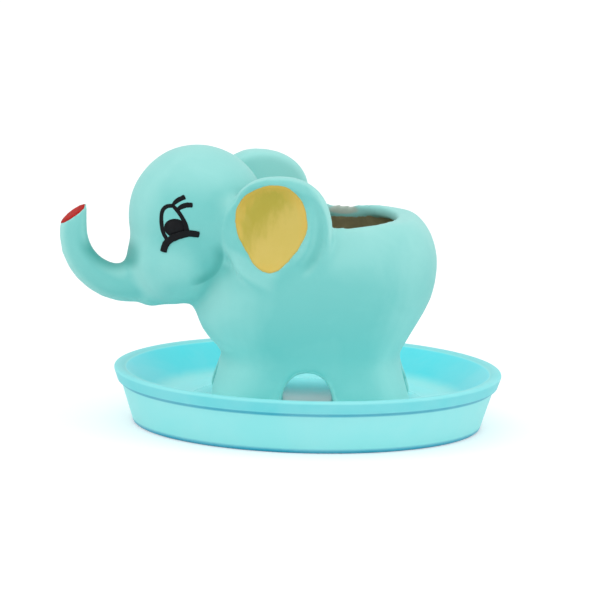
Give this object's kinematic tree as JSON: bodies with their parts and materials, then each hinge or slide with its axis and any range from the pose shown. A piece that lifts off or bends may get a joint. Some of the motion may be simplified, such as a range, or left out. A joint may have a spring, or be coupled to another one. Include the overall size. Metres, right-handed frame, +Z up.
{
  "type": "plant pot with saucer",
  "caption": "Hollow painted clay plant pot shaped as a standing elephant with raised trunk and dished ears, loose in a round saucer with a banded rim.",
  "frame": {"origin": "centre of the saucer's flat underside", "axes": "+Z up; the elephant faces -X; its left side is towards -Y"},
  "size_m": [0.1971, 0.172, 0.124],
  "materials": {
    "saucer_paint": "satin pale cyan paint on fired clay",
    "pot_paint": "matte turquoise paint on fired clay, bare brown clay inside",
    "ear_paint": "matte hand-brushed ochre yellow paint",
    "eye_paint": "matte hand-painted black",
    "tip_paint": "matte hand-painted red"
  },
  "bodies": {
    "saucer": {"saucer": "saucer_paint"},
    "pot": {"pot": "pot_paint", "ear_paint_left": "ear_paint", "ear_paint_right": "ear_paint", "eye_left": "eye_paint", "eye_right": "eye_paint", "trunk_tip_paint": "tip_paint"}
  },
  "joints": [
    {"name": "pot_lift", "type": "slide", "parent": "saucer", "child": "pot", "axis": [0, 0, 1], "range_m": [0, 0.1]}
  ]
}
